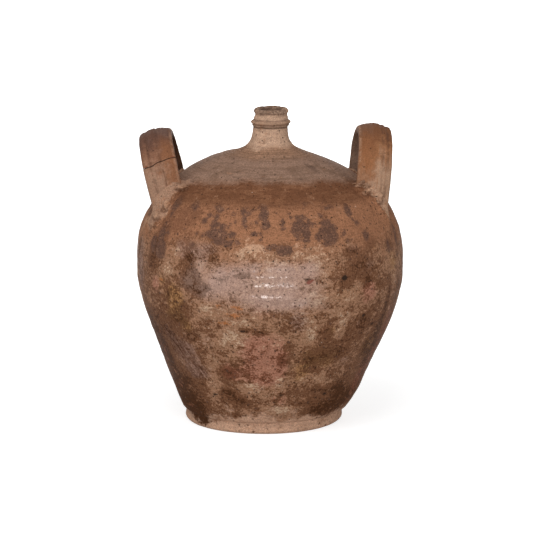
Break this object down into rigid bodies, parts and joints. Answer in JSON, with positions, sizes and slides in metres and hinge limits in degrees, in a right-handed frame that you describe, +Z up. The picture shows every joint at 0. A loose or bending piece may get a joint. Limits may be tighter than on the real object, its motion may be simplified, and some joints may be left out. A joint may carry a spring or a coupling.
{
  "type": "two-handled clay storage jar",
  "caption": "Round-bellied fired-clay storage jar with a flat foot, domed shoulder, narrow collared neck and upright strap handles for lifting and pouring liquids.",
  "frame": {"origin": "middle of the flat base, on the surface that the jar stands on", "axes": "+Z up through the neck; X runs from the left handle (-X) to the right handle (+X); -Y is the side seen in the picture"},
  "size_m": [0.32, 0.32, 0.376],
  "materials": {
    "bare_clay": "unglazed buff clay, dry and gritty",
    "belly_glaze": "thin worn glaze over red-brown clay, mottled, half gloss",
    "dome_clay": "matt grey-brown clay with fine throwing lines",
    "neck_clay": "matt tan clay, worn at the lip",
    "handle_clay": "matt brown pulled clay with lengthwise finger grooves"
  },
  "bodies": {
    "root": {"floor_disc": "bare_clay", "foot_band": "bare_clay", "lower_wall": "belly_glaze", "upper_wall": "belly_glaze", "shoulder_dome": "dome_clay", "neck": "neck_clay", "neck_collar": "neck_clay", "left_handle_arch": "handle_clay", "left_handle_stub": "handle_clay", "right_handle": "handle_clay", "left_front_root": "handle_clay", "left_back_root": "handle_clay", "right_front_root": "handle_clay", "right_back_root": "handle_clay"}
  },
  "joints": []
}
